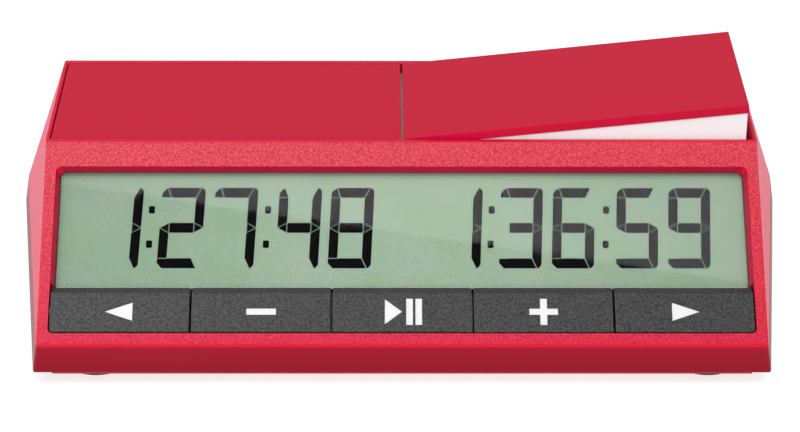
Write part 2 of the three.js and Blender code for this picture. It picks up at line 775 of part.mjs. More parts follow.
// The rocker body is a shallow V, hollow underneath, with a solid web along the pivot.
function rockerBody() {
  const end = CAP_HALF_WIDTH - ROCKER_INSET;
  const endDraft = 1.1;
  const lean = Math.tan(SWING / 2);
  const leftHalf = [
    [-lean * ROCKER_TOP, ROCKER_TOP],
    [-end, ROCKER_TOP],
    [-end + endDraft, ROCKER_BOTTOM],
  ];
  const rightHalf = leftHalf.slice(1).map(raised).reverse();
  const body = profileY([...leftHalf, [-lean * ROCKER_BOTTOM, ROCKER_BOTTOM], ...rightHalf], ROCKER_Y);
  const hollowY = [ROCKER_Y[0] + ROCKER_WALL, ROCKER_Y[1] - ROCKER_WALL];
  const web = 4;
  const hollow = [
    [-end + endDraft + ROCKER_WALL, ROCKER_BOTTOM - 2],
    [-web, ROCKER_BOTTOM - 2],
    [-web, ROCKER_TOP - ROCKER_WALL],
    [-end + endDraft + ROCKER_WALL, ROCKER_TOP - ROCKER_WALL],
  ];
  const studs = [-STUD_X, STUD_X].map((x) => {
    const matrix = x > 0 ? RAISE : undefined;
    return postZ(x, SENSOR_Y, 2.5, [-0.6, ROCKER_TOP - ROCKER_WALL + 0.3], 16, matrix);
  });
  const hollows = [profileY(hollow, hollowY), profileY(hollow.map(raised).reverse(), hollowY)];
  const saddleRoom = SADDLE_YS.map((y) =>
    block([-web - 1, web + 1], [y - 2.1, y + 2.1], [ROCKER_BOTTOM - 1, 1.4]),
  );
  return cutAll(cutAll(body, hollows).add(union(studs)), [
    ...saddleRoom,
    barY(0, 0, AXLE_RADIUS + GAP, [CAP_FRONT + 3, CAP_BACK - 3]),
  ]);
}

addPiece(rockerGroup, "rocker_body", rockerBody(), plastic(ROCKER_WHITE, 0.45));

function cap(inner, isRaised) {
  const outline = [
    [-CAP_HALF_WIDTH, FLUSH],
    [-CAP_HALF_WIDTH, FLUSH - CAP_THICKNESS],
    [-inner, FLUSH - CAP_THICKNESS],
    [-inner, FLUSH],
  ];
  const points = isRaised ? outline.map(raised).reverse() : outline;
  return profileY(points, [CAP_FRONT, CAP_BACK]);
}

addPiece(rockerGroup, "rocker_cap_left", cap(SEAM_LEFT, false), plastic(CAP_RED, 0.4));
addPiece(rockerGroup, "rocker_cap_right", cap(SEAM_RIGHT, true), plastic(CAP_RED, 0.4));
addPiece(
  rockerGroup,
  "rocker_axle",
  barY(0, 0, AXLE_RADIUS, [CAP_FRONT + 3.4, CAP_BACK - 3.4], 24),
  metal(0xaeb2b6),
);

// A small sensor board lies on the floor of the well under the middle of the rocker.
addPiece(
  rockerGroup,
  "sensor_board",
  block([-66, 66], around(SENSOR_Y, 5.5), SENSOR_BOARD),
  plastic(0x1f6b3a, 0.5),
);

// Silicone pads on the sensor board feel the studs of the rocker.
for (const [name, x] of [
  ["sensor_pad_left", -STUD_X],
  ["sensor_pad_right", STUD_X],
]) {
  const profile = [
    [0, SENSOR_BOARD[1] + 0.1],
    [4.5, SENSOR_BOARD[1] + 0.1],
    [3.2, -1.6],
    [2.4, -1.0],
    [0, -1.0],
  ].map(([r, z]) => new THREE.Vector2(r, z));
  const pad = new THREE.LatheGeometry(profile, 20);
  pad.rotateX(Math.PI / 2);
  pad.translate(x, SENSOR_Y, 0);
  addPiece(rockerGroup, name, solid(pad), plastic(0x3b3d40, 0.8));
}

// A bent leaf spring beside the web snaps the rocker over to either side.
function detentSpring() {
  const foot = SENSOR_BOARD[1] + 0.1;
  const outline = [
    [-20, foot],
    [-12, foot],
    [-6.8, -3.6],
    [-5.2, -2.2],
    [-6.5, -0.9],
    [-6.8, -1.2],
    [-5.8, -2.2],
    [-7.1, -3.3],
    [-12.2, foot + 0.4],
    [-20, foot + 0.4],
  ];
  return profileY(outline, around(SENSOR_Y, 3));
}

addPiece(rockerGroup, "detent_spring", detentSpring(), metal(0xb4b7ba));

// ---- power button ---------------------------------------------------------------------

const BUTTON_TRAVEL = 0.8;

function powerButton() {
  return postZ(POWER_X, POWER_Y, 3.2, [BASE[0] + 0.1, BASE[1] + 0.5], 32).add(
    postZ(POWER_X, POWER_Y, 4.4, [BASE[1] + 0.3, BASE[1] + 1.2], 32),
  );
}

addPiece(caseGroup, "power_button", powerButton(), plastic(0x2f3032, 0.6));

// The push switch that the button presses hangs from a small bracketed board.
function powerSwitch() {
  const stemBottom = BASE[1] + 1.2 + BUTTON_TRAVEL + 0.3;
  return block(around(POWER_X, 3), around(POWER_Y, 3), [stemBottom + 0.8, stemBottom + 4]).add(
    postZ(POWER_X, POWER_Y, 1.7, [stemBottom, stemBottom + 1], 20),
  );
}

addPiece(caseGroup, "power_switch", powerSwitch(), plastic(0x1d1e20, 0.5));

export default clock;
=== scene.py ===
"""The looks of a chess clock: finished meshes, materials, floor, light and camera.

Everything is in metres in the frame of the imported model: X to the player's right, Y away
from the player, Z up. The sloping face has its own coordinates in millimetres, as in the
CAD source: x across, s up the slope from its lower edge, d outwards.
"""
import math

import bmesh
import bpy
from mathutils import Matrix, Vector


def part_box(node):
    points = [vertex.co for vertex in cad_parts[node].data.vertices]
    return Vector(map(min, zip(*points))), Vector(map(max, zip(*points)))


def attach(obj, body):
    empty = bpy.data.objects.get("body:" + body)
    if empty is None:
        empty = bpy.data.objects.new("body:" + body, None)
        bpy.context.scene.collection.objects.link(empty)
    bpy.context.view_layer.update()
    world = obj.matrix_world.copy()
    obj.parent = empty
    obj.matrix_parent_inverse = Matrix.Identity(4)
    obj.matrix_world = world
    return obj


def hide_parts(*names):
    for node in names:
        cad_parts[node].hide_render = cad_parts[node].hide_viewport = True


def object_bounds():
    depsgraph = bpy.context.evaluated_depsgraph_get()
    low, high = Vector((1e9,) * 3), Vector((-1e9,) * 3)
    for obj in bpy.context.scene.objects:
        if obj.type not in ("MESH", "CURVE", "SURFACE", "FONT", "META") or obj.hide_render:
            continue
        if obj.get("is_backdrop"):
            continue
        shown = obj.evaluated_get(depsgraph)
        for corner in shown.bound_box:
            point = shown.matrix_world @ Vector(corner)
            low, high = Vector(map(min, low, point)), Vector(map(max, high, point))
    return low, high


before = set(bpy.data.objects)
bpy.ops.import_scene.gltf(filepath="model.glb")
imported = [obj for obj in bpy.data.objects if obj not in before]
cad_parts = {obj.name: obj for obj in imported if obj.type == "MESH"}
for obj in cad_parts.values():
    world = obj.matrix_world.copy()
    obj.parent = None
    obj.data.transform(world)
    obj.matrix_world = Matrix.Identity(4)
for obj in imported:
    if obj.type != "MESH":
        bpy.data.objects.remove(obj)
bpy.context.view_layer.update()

MM = 0.001
SLOPE = math.radians(38)
FACE_NORMAL = Vector((0, -math.sin(SLOPE), math.cos(SLOPE)))
FACE_UP = Vector((0, math.cos(SLOPE), math.sin(SLOPE)))
housing_low, housing_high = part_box("upper_housing")
BAND_HEIGHT = 6.45 * MM
FACE_ORIGIN = Vector((0, housing_low.y, housing_low.z + BAND_HEIGHT))


def face_point(x, s, d):
    """The place in the frame of a point of the sloping face given in millimetres."""
    return FACE_ORIGIN + MM * (x * Vector((1, 0, 0)) + s * FACE_UP + d * FACE_NORMAL)


# ---- camera ----------------------------------------------------------------------------

camera_data = bpy.data.cameras.new("camera")
camera = bpy.data.objects.new("camera", camera_data)
bpy.context.scene.collection.objects.link(camera)
SENSOR_WIDTH = 36
FOCAL_LENGTH = 125.29
NEAREST_SEEN = 0.01
CAMERA_PLACE = (-0.00527, -0.53397, 0.29217)
PITCH, YAW, ROLL = math.radians(27.06), math.radians(-0.535), math.radians(0.276)
camera_data.sensor_width = SENSOR_WIDTH
camera_data.lens = FOCAL_LENGTH
camera_data.clip_start = NEAREST_SEEN
camera.location = CAMERA_PLACE
camera.rotation_euler = (
    Matrix.Rotation(YAW, 3, "Z")
    @ Matrix.Rotation(math.pi / 2 - PITCH, 3, "X")
    @ Matrix.Rotation(ROLL, 3, "Z")
).to_euler()
bpy.context.scene.camera = camera
bpy.context.scene.view_settings.view_transform = "Standard"


# ---- materials -------------------------------------------------------------------------

class Nodes:
    """A material's node tree with short calls for the nodes used below."""

    def __init__(self, name, **sockets):
        """Starts a material; sockets are the shader's own constant values by name, with
        underscores for spaces."""
        self.material = bpy.data.materials.new(name)
        self.material.use_nodes = True
        self.tree = self.material.node_tree
        self.shader = self.tree.nodes["Principled BSDF"]
        self.coords = self.tree.nodes.new("ShaderNodeTexCoord")
        for key, value in sockets.items():
            self.shader.inputs[key.replace("_", " ")].default_value = value

    def add(self, kind, inputs=(), **settings):
        node = self.tree.nodes.new(kind)
        for key, value in settings.items():
            setattr(node, key, value)
        for key, value in dict(inputs).items():
            if isinstance(value, bpy.types.NodeSocket):
                self.tree.links.new(value, node.inputs[key])
            else:
                node.inputs[key].default_value = value
        return node

    def noise(self, scale, detail=2.0, roughness=0.5, vector=None):
        return self.add(
            "ShaderNodeTexNoise",
            {
                "Vector": vector or self.coords.outputs["Object"],
                "Scale": scale,
                "Detail": detail,
                "Roughness": roughness,
            },
        ).outputs["Fac"]

    def stretch(self, value, low, high, to_low=0.0, to_high=1.0, smooth=False):
        return self.add(
            "ShaderNodeMapRange",
            {0: value, 1: low, 2: high, 3: to_low, 4: to_high},
            interpolation_type="SMOOTHSTEP" if smooth else "LINEAR",
        ).outputs[0]

    def maths(self, operation, a, b=0.0):
        return self.add("ShaderNodeMath", {0: a, 1: b}, operation=operation).outputs[0]

    def mix(self, factor, a, b):
        return self.add(
            "ShaderNodeMix", {0: factor, 6: a, 7: b}, data_type="RGBA"
        ).outputs[2]

    def axis(self, output, index):
        split = self.add("ShaderNodeSeparateXYZ", {0: self.coords.outputs[output]})
        return split.outputs[index]

    def facing(self, direction):
        """How nearly the surface faces the given direction, from -1 to 1."""
        normal = self.coords.outputs["Normal"]
        return self.add(
            "ShaderNodeVectorMath", {0: normal, 1: tuple(direction)}, operation="DOT_PRODUCT"
        ).outputs["Value"]

    def bump(self, height, distance, strength=1.0):
        inputs = {"Height": height, "Distance": distance, "Strength": strength}
        return self.add("ShaderNodeBump", inputs).outputs["Normal"]

    def into(self, socket, value):
        self.tree.links.new(value, self.shader.inputs[socket])


def scaled(colour, factor):
    return tuple(min(1.0, channel * factor) for channel in colour[:3]) + (1.0,)


def moulded(name, colour, grain, spread, depth, roughness, **sockets):
    """Moulded plastic: a spark-eroded grain of the given cell size and depth in millimetres,
    whose hills and valleys differ in tone by the spread, over a broad faint unevenness."""
    n = Nodes(name, Roughness=roughness, **sockets)
    cells = n.noise(1 / (grain * MM), 2.5, 0.65)
    fine = n.stretch(cells, 0.32, 0.68)
    broad = n.stretch(n.noise(22, 2.0), 0.3, 0.7)
    tone = n.mix(fine, scaled(colour, 1 - spread), scaled(colour, 1 + spread))
    patches = n.maths("MULTIPLY", broad, 0.10)
    n.into("Base Color", n.mix(patches, tone, scaled(colour, 0.82)))
    n.into("Roughness", n.stretch(cells, 0.3, 0.7, roughness - 0.06, roughness + 0.05))
    n.into("Normal", n.bump(cells, depth * MM))
    return n.material


CASE_RED = (0.66, 0.002, 0.034, 1)
CASE_GRAIN = 0.40 * MM
GRAIN_HEIGHT = 0.05 * MM
# Each pair is where one tone starts to give way to the next and where it has done so: up
# from the lower rim of the case, out of the painted shade on the strip at its foot, and outwards
# from the painted shade on the walls of the display opening to the painted brighter red of the
# outer sides.
STRIP_EDGE = (5.65 * MM, 6.45 * MM)
RECESS_HALF_WIDTH = (73.0 * MM, 73.6 * MM)


def case_red():
    """The red of the case: grained on the sloping face, finer elsewhere, with painted light: a
    painted sheen growing up the slope, painted shade on the smooth strip round the foot of the
    case and on the walls of the display opening, and a painted brighter red on the outer sides."""
    n = Nodes("case_red", Specular_IOR_Level=0.20)
    height = n.axis("Object", 2)
    cells = n.noise(1 / CASE_GRAIN, 3.0, 0.7)
    fine = n.stretch(cells, 0.34, 0.66)

    on_slope = n.stretch(n.facing(FACE_NORMAL), 0.955, 0.985, smooth=True)
    climb = n.stretch(height, housing_low.z + BAND_HEIGHT, housing_high.z)
    # Painted sheen: the hills of the grain turn paler and pinker up the slope, standing in for
    # the gloss of the light above.
    hills = n.mix(climb, (0.75, 0.014, 0.056, 1), (0.77, 0.068, 0.100, 1))
    grained = n.mix(fine, (0.36, 0.0005, 0.014, 1), hills)

    faint = n.maths("MULTIPLY", fine, 0.3)
    smooth_red = n.mix(faint, scaled(CASE_RED, 0.97), scaled(CASE_RED, 1.04))
    # Painted light on faces that look sideways: painted shade on the walls of the display
    # opening, and a painted brighter red on the outer sides of the case.
    outer = n.stretch(n.maths("ABSOLUTE", n.axis("Object", 0)), *RECESS_HALF_WIDTH)
    side = n.mix(outer, (0.50, 0.0005, 0.036, 1), (0.98, 0.004, 0.090, 1))
    sideways = n.maths("ABSOLUTE", n.axis("Normal", 0))
    side_red = n.mix(n.stretch(sideways, 0.85, 0.97), smooth_red, side)
    # Painted shade on the upper wall of the display opening, which faces down the slope.
    under_top = n.stretch(n.facing(FACE_UP), -0.88, -0.97)
    shaded = n.mix(under_top, side_red, (0.54, 0.0005, 0.040, 1))
    red = n.mix(on_slope, shaded, grained)

    # Painted shade on the smooth strip round the foot of the case, darker towards its bottom.
    strip_low, strip_high = (housing_low.z + edge for edge in STRIP_EDGE)
    on_strip = n.stretch(height, strip_low, strip_high, 1.0, 0.0, smooth=True)
    rise = n.stretch(height, housing_low.z, housing_low.z + BAND_HEIGHT)
    strip = n.mix(rise, (0.265, 0.0005, 0.012, 1), (0.350, 0.0015, 0.018, 1))

    n.into("Base Color", n.mix(on_strip, red, strip))
    n.into("Roughness", n.stretch(on_slope, 0, 1, 0.42, 0.5))
    n.into("Normal", n.bump(cells, GRAIN_HEIGHT, n.stretch(on_slope, 0, 1, 0.15, 1.0)))
    return n.material


def display_glass():
    """The reflective display: grey-green with faint cloudy tints and a fine speckle, and painted
    shade darkening it towards its left and right ends.
    """
    n = Nodes("display_glass", Roughness=0.5, Specular_IOR_Level=0.1)
    clouds = n.stretch(n.noise(70, 3.0, 0.55), 0.36, 0.64)
    tints = n.stretch(n.noise(150, 2.0, 0.5), 0.36, 0.64)
    speckle = n.stretch(n.noise(1500, 3.0, 0.7), 0.32, 0.68)
    base = n.mix(clouds, (0.262, 0.384, 0.238, 1), (0.330, 0.400, 0.300, 1))
    cool = n.mix(n.maths("MULTIPLY", tints, 0.5), base, (0.262, 0.400, 0.335, 1))
    # Painted shade: the display darkens from the middle towards its left and right ends.
    aside = n.maths("ABSOLUTE", n.axis("Object", 0))
    outward = n.stretch(aside, 10 * MM, 72 * MM, 0.0, 0.34, smooth=True)
    shaded = n.mix(outward, cool, (0.150, 0.235, 0.160, 1))
    specks = n.maths("MULTIPLY", speckle, 0.30)
    n.into("Base Color", n.mix(specks, shaded, (0.165, 0.240, 0.170, 1)))
    return n.material


def segment_black():
    """The switched-on segments of the display, with the faintest unevenness."""
    n = Nodes("segment_black", Roughness=0.6, Specular_IOR_Level=0.0)
    tone = n.stretch(n.noise(900, 2.0), 0.3, 0.7)
    black = n.mix(tone, (0.0010, 0.0010, 0.0012, 1), (0.0024, 0.0024, 0.0026, 1))
    n.into("Base Color", black)
    return n.material


def clear_window():
    """Clear acrylic with the faintest smears in its polish."""
    n = Nodes("clear_window", IOR=1.22, Transmission_Weight=1.0, Base_Color=(0.99, 1.0, 0.99, 1))
    n.into("Roughness", n.stretch(n.noise(60, 3.0), 0.35, 0.75, 0.015, 0.03))
    return n.material


def steel(name, colour=(0.62, 0.63, 0.64, 1), across="X"):
    """Brushed steel with streaks across the given axis."""
    n = Nodes(name, Metallic=1.0)
    scale = (4000, 250, 4000) if across == "Y" else (250, 4000, 4000)
    mapped = n.add(
        "ShaderNodeMapping", {"Vector": n.coords.outputs["Object"], "Scale": scale}
    ).outputs[0]
    streaks = n.noise(1.0, 3.0, 0.6, mapped)
    n.into("Base Color", n.mix(streaks, scaled(colour, 0.85), scaled(colour, 1.1)))
    n.into("Roughness", n.stretch(streaks, 0.3, 0.7, 0.22, 0.42))
    n.into("Normal", n.bump(streaks, 0.01 * MM, 0.5))
    return n.material


def solder_mask():
    """Green circuit board with copper tracks showing through the mask as paler lines."""
    n = Nodes("solder_mask", Roughness=0.35)
    tracks = n.add(
        "ShaderNodeTexBrick",
        {
            "Vector": n.coords.outputs["Object"],
            "Scale": 420,
            "Color1": (0.012, 0.105, 0.035, 1),
            "Color2": (0.016, 0.130, 0.044, 1),
            "Mortar": (0.045, 0.230, 0.085, 1),
            "Mortar Size": 0.03,
        },
        offset=0.35,
        squash=1.6,
        squash_frequency=3,
    )
    weave = n.noise(1600, 2.0)
    woven = n.maths("MULTIPLY", weave, 0.25)
    n.into("Base Color", n.mix(woven, tracks.outputs["Color"], (0.01, 0.09, 0.03, 1)))
    n.into("Normal", n.bump(tracks.outputs["Fac"], 0.03 * MM, 0.6))
    return n.material


def zebra():
    """Connector rubber with narrow conducting stripes."""
    n = Nodes("zebra_rubber", Roughness=0.7)
    wave = n.add(
        "ShaderNodeTexWave",
        {"Vector": n.coords.outputs["Object"], "Scale": 700, "Distortion": 0.0},
        bands_direction="X",
    ).outputs["Fac"]
    stripes = n.stretch(wave, 0.4, 0.6)
    n.into("Base Color", n.mix(stripes, (0.55, 0.48, 0.45, 1), (0.06, 0.05, 0.05, 1)))
    return n.material


# How far left of the middle the first cell starts, and the distance from cell to cell.
CELL_START = 49.1 * MM
CELL_PITCH = 50.6 * MM


def battery_sleeve():
    """A plain dark cell sleeve with a coppery end band."""
    n = Nodes("battery_sleeve")
    along_cell = n.maths("ADD", n.axis("Object", 0), CELL_START)
    fraction = n.maths("FRACT", n.maths("DIVIDE", along_cell, CELL_PITCH))
    band = n.stretch(fraction, 0.745, 0.75)
    grain = n.noise(900, 2.0)
    copper = n.mix(grain, (0.52, 0.27, 0.13, 1), (0.60, 0.33, 0.17, 1))
    dark = n.mix(grain, (0.028, 0.030, 0.034, 1), (0.040, 0.042, 0.047, 1))
    n.into("Base Color", n.mix(band, dark, copper))
    n.into("Metallic", n.stretch(band, 0, 1, 0.0, 0.7))
    n.into("Roughness", n.stretch(grain, 0.3, 0.7, 0.26, 0.36))
    return n.material


M = {
    "case": case_red(),
    "base": moulded("base_red", (0.60, 0.012, 0.045, 1), 0.45, 0.10, 0.03, 0.5),
    "cap": moulded(
        "cap_red", (0.55, 0.003, 0.034, 1), 0.5, 0.025, 0.004, 0.4, Specular_IOR_Level=0.13
    ),
    "white": moulded("rocker_white", (0.84, 0.825, 0.83, 1), 0.8, 0.012, 0.004, 0.35),
    "key": moulded(
        "key_grey", (0.031, 0.031, 0.032, 1), 0.40, 1.0, 0.06, 0.55, Specular_IOR_Level=0.30
    ),
    "sign": moulded("sign_white", (0.72, 0.72, 0.72, 1), 0.5, 0.02, 0.004, 0.5),
    "display": display_glass(),
    "segment": segment_black(),
    "window": clear_window(),
    "black": moulded("black_plastic", (0.025, 0.026, 0.028, 1), 0.5, 0.15, 0.02, 0.5),
    "chip": moulded("chip_black", (0.016, 0.017, 0.018, 1), 0.2, 0.2, 0.01, 0.55),
    "blue": moulded("sleeve_blue", (0.02, 0.055, 0.16, 1), 0.6, 0.06, 0.004, 0.3),
    "carrier": moulded("carrier_pale", (0.70, 0.70, 0.67, 1), 0.5, 0.04, 0.01, 0.5),
    "silicone": moulded("grey_silicone", (0.46, 0.48, 0.50, 1), 0.7, 0.05, 0.01, 0.6),
    "dark_silicone": moulded("dark_silicone", (0.045, 0.048, 0.052, 1), 0.5, 0.1, 0.01, 0.65),
    "foot": moulded("foot_rubber", (0.030, 0.029, 0.030, 1), 0.35, 0.25, 0.03, 0.8),
    "lead_black": moulded("lead_black", (0.015, 0.015, 0.016, 1), 0.5, 0.1, 0.005, 0.4),
    "lead_red": moulded("lead_red", (0.45, 0.012, 0.012, 1), 0.5, 0.08, 0.005, 0.4),
    "steel": steel("steel_bright"),
    "screw": steel("steel_screw", (0.42, 0.43, 0.44, 1)),
    "axle": steel("steel_axle", across="Y"),
    "board": solder_mask(),
    "zebra": zebra(),
    "battery": battery_sleeve(),
}


# ---- meshes ----------------------------------------------------------------------------

def link(name, data):
    obj = bpy.data.objects.new(name, data)
    bpy.context.scene.collection.objects.link(obj)
    return obj


def finished(name, bm, material, body):
    """A new piece made of a bmesh, riding on its body."""
    mesh = bpy.data.meshes.new(name)
    bm.to_mesh(mesh)
    bm.free()
    mesh.materials.append(M[material])
    piece = link(name, mesh)
    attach(piece, body)
    return piece


def add_bevel(obj, width, segments=3, weighted=False):
    """Rounds the object's edges by a width in millimetres: all that turn sharply, or by
    their own weights, when the rounded faces are marked with material 1."""
    bevel = obj.modifiers.new("round_edges", "BEVEL")
    bevel.width = width * MM
    bevel.segments = segments
    bevel.limit_method = "WEIGHT" if weighted else "ANGLE"
    bevel.angle_limit = math.radians(30)
    bevel.use_clamp_overlap = not weighted
    if weighted:
        bevel.material = 1
        return
    even = obj.modifiers.new("flat_faces", "WEIGHTED_NORMAL")
    even.mode = "FACE_AREA"
    even.weight = 80
    even.keep_sharp = True


def corner_normal(polygon, others):
    """The shading normal of a polygon at a corner that the others share: flat faces keep
    their own, curved ones turn smoothly, and a rounded edge runs into the faces beside it.
    Material 1 marks the rounded edges."""
    rounded = polygon.material_index == 1
    reach = math.cos(math.radians(60 if rounded else 31))
    near = [other for other in others if other.normal.dot(polygon.normal) > reach]
    flat = [other for other in near if other.material_index == 0]
    chosen = flat or near
    total = Vector()
    for other in chosen:
        total += other.normal * (other.area / MM**2) ** 2
    return total.normalized() if total.length > 0 else polygon.normal.copy()


def with_rounded_edges(obj):
    """The object's mesh with its bevel made real and each corner's normal set."""
    depsgraph = bpy.context.evaluated_depsgraph_get()
    mesh = bpy.data.meshes.new_from_object(obj.evaluated_get(depsgraph))
    obj.modifiers.clear()
    around = {}
    for polygon in mesh.polygons:
        for index in polygon.vertices:
            around.setdefault(index, []).append(polygon)
    normals = [None] * len(mesh.loops)
    for polygon in mesh.polygons:
        for loop, vertex in zip(polygon.loop_indices, polygon.vertices):
            normals[loop] = corner_normal(polygon, around[vertex])
    mesh.normals_split_custom_set(normals)
    for polygon in mesh.polygons:
        polygon.material_index = 0
    while len(mesh.materials) > 1:
        mesh.materials.pop()
    return mesh


JOIN_DISTANCE = 0.002 * MM
FLAT_ANGLE = math.radians(0.4)


def cleaned(node):
    """A bmesh of a CAD node with its split corners joined and its flat faces merged."""
    bm = bmesh.new()
    bm.from_mesh(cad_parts[node].data)
    bmesh.ops.remove_doubles(bm, verts=bm.verts, dist=JOIN_DISTANCE)
    bmesh.ops.dissolve_limit(
        bm, angle_limit=FLAT_ANGLE, verts=bm.verts[:], edges=bm.edges[:]
    )
    return bm


def refined(node, body, material, edge_width, widest=1.0, segments=3):
    """A piece that stands for a CAD node: the same form with smooth shading and with each
    edge rounded by the width in millimetres that edge_width gives it."""
    bm = cleaned(node)
    bm.normal_update()
    weight = bm.edges.layers.float.new("bevel_weight_edge")
    for edge in bm.edges:
        if len(edge.link_faces) != 2:
            continue
        turn = edge.calc_face_angle_signed(0.0)
        width = edge_width(edge, turn) if abs(turn) > math.radians(14) else 0.0
        edge[weight] = min(1.0, width / widest)
        edge.smooth = width > 0 or abs(turn) < math.radians(32)
    for face in bm.faces:
        face.smooth = True
    mesh = bpy.data.meshes.new(node + "_finish")
    bm.to_mesh(mesh)
    bm.free()
    mesh.materials.append(M[material])
    mesh.materials.append(M[material])
    piece = link(node + "_finish", mesh)
    add_bevel(piece, widest, segments, weighted=True)
    piece.data = with_rounded_edges(piece)
    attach(piece, body)
    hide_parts(node)


def everywhere(width):
    """The same rounding for every outward edge."""
    return lambda edge, turn: width if turn > 0 else 0.0


def middle(edge):
    return (edge.verts[0].co + edge.verts[1].co) / 2


def along(edge):
    return (edge.verts[1].co - edge.verts[0].co).normalized()


# Rounding of the edges of the case, in millimetres.
FRONT_CREASE = 0.6
SIDE_CREASE = 0.55
TOP_CREASE = 0.2
CORNER_POST = 0.8
LOWER_RIM = 0.35
TOP_RIM = 0.3
OPENING_EDGE = 0.25
WELL_EDGE = 0.12
SIDE_FACET = 1.0


def housing_edge(edge, turn):
    """How far each edge of the case is rounded, in millimetres."""
    if turn < 0 or edge.calc_length() < 0.5 * MM:
        return 0.0
    at = middle(edge)
    normals = [face.normal for face in edge.link_faces]
    slope = any(normal.dot(FACE_NORMAL) > 0.999 for normal in normals)
    sides = sum(abs(normal.x) > 0.9 for normal in normals) if abs(at.x) > 75.2 * MM else 0
    front = abs(at.y - housing_low.y) < 0.2 * MM
    back = abs(at.y - housing_high.y) < 0.2 * MM
    top = abs(at.z - housing_high.z) < 0.05 * MM
    bottom = abs(at.z - housing_low.z) < 0.05 * MM
    if slope and front and abs(along(edge).x) > 0.9:
        return FRONT_CREASE
    if slope and sides:
        return SIDE_CREASE
    if slope and top:
        return TOP_CREASE
    if sides and (front or back):
        return CORNER_POST
    if bottom and (front or back or (sides and abs(at.x) > 75.8 * MM)):
        return LOWER_RIM
    if top and (sides or back):
        return TOP_RIM
    if slope:
        return OPENING_EDGE
    if top:
        return WELL_EDGE
    return SIDE_FACET if sides == 2 else 0.0


refined("upper_housing", "case", "case", housing_edge, segments=4)
refined("base_plate", "case", "base", everywhere(0.2), widest=0.2, segments=2)
for node, body, slot, material, width in (
    ("battery_door", "battery_door", "case_plastic", "base", 0.25),
    ("rocker_cap_left", "rocker", "cap_plastic", "cap", 0.22),
    ("rocker_cap_right", "rocker", "cap_plastic", "cap", 0.22),
    ("rocker_body", "rocker", "rocker_plastic", "white", 0.2),
):
    refined(node, body, material, everywhere(width), widest=width)

KEYS = ["key_back", "key_minus", "key_play_pause", "key_plus", "key_forward"]
# Rounding of the keys, how deep their flanges start, and the part of the slope, from low to
# high, where their edges belong to the signs, all in millimetres.
KEY_CORNER = 0.75
KEY_EDGE = 0.25
KEY_FLANGE_DEPTH = -3.0
SIGN_SPAN = (3.2, 11.5)


def key_edge(low, high):
    """The rounding of a key with the given box: its outer edges are rounded, most at the
    outer corners of the row, and its sunk sign stays crisp."""

    def rounding(edge, turn):
        at = middle(edge)
        depth = (at - FACE_ORIGIN).dot(FACE_NORMAL) / MM
        height = (at - FACE_ORIGIN).dot(FACE_UP) / MM
        if turn < 0 or depth < KEY_FLANGE_DEPTH:
            return 0.0
        near_side = min(abs(at.x - low.x), abs(at.x - high.x)) < 0.1 * MM
        upright = abs(along(edge).dot(FACE_NORMAL)) > 0.9
        if upright and near_side and abs(at.x) > 70 * MM:
            return KEY_CORNER
        if near_side or height < SIGN_SPAN[0] or height > SIGN_SPAN[1]:
            return KEY_EDGE
        return 0.0

    return rounding


for key_name in KEYS:
    edges = key_edge(*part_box(key_name))
    refined(key_name, key_name, "key", edges, widest=KEY_CORNER, segments=4)

# Round pieces: the same forms turned with more sides and softer edges.
SIDES = 64
RIM_STEPS = 4


def turned(node, material, centre, profile, axis="Z"):
    """A piece of the case turned about an axis through centre from a profile of (radius,
    height) in millimetres, standing for a CAD node."""
    bm = bmesh.new()
    rings = []
    for radius, height in profile:
        if radius == 0:
            rings.append([bm.verts.new((0, 0, height * MM))])
            continue
        rings.append([
            bm.verts.new((
                radius * MM * math.cos(2 * math.pi * i / SIDES),
                radius * MM * math.sin(2 * math.pi * i / SIDES),
                height * MM,
            ))
            for i in range(SIDES)
        ])
    for lower, upper in zip(rings, rings[1:]):
        for i in range(SIDES):
            j = (i + 1) % SIDES
            if len(lower) == 1:
                bm.faces.new((lower[0], upper[j], upper[i]))
            elif len(upper) == 1:
                bm.faces.new((lower[i], lower[j], upper[0]))
            else:
                bm.faces.new((lower[i], lower[j], upper[j], upper[i]))
    for face in bm.faces:
        face.smooth = True
    bmesh.ops.recalc_face_normals(bm, faces=bm.faces[:])
    turn = Matrix.Rotation(math.pi / 2, 4, "Y") if axis == "X" else Matrix.Identity(4)
    bm.transform(Matrix.Translation(centre) @ turn)
    piece = finished(node + "_turned", bm, material, "case")
    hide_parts(node)


def rounded_rim(radius, height, corner, inward=1):
    """Points round a corner of a turned profile, from the side to the flat."""
    turns = [math.pi / 2 * i / RIM_STEPS for i in range(RIM_STEPS + 1)]
    return [
        (radius - corner * (1 - math.cos(a)), height + inward * corner * math.sin(a))
        for a in turns
    ]


for foot_name in ("foot_front_left", "foot_front_right", "foot_rear_left", "foot_rear_right"):
    low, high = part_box(foot_name)
    radius = (high.x - low.x) / 2 / MM
    tall = (high.z - low.z) / MM
    rim = rounded_rim(radius, 0.7, 0.7, inward=-1)
    turned(
        foot_name, "foot",
        Vector(((low.x + high.x) / 2, (low.y + high.y) / 2, low.z)),
        [(0, 0.25), (radius - 2.2, 0.25), (radius - 1.9, 0.0)] + rim[::-1] + [
            (radius, tall - 0.3), (radius - 0.3, tall), (0, tall)],
    )

for cell_name in ("battery_left", "battery_right"):
    low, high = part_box(cell_name)
    radius = (high.z - low.z) / 2 / MM
    long = (high.x - low.x) / MM
    turned(
        cell_name, "battery",
        Vector((low.x, (low.y + high.y) / 2, (low.z + high.z) / 2)),
        [(0, 0.15), (radius - 2.2, 0.15), (radius - 1.6, 0)]
        + rounded_rim(radius, 0.4, 0.4, inward=-1)[::-1]
        + rounded_rim(radius, long - 1.7, 0.5)
        + [(2.9, long - 1.2), (2.75, long - 1.0), (2.7, long - 0.3), (2.4, long), (0, long)],
        axis="X",
    )


# ---- display ---------------------------------------------------------------------------

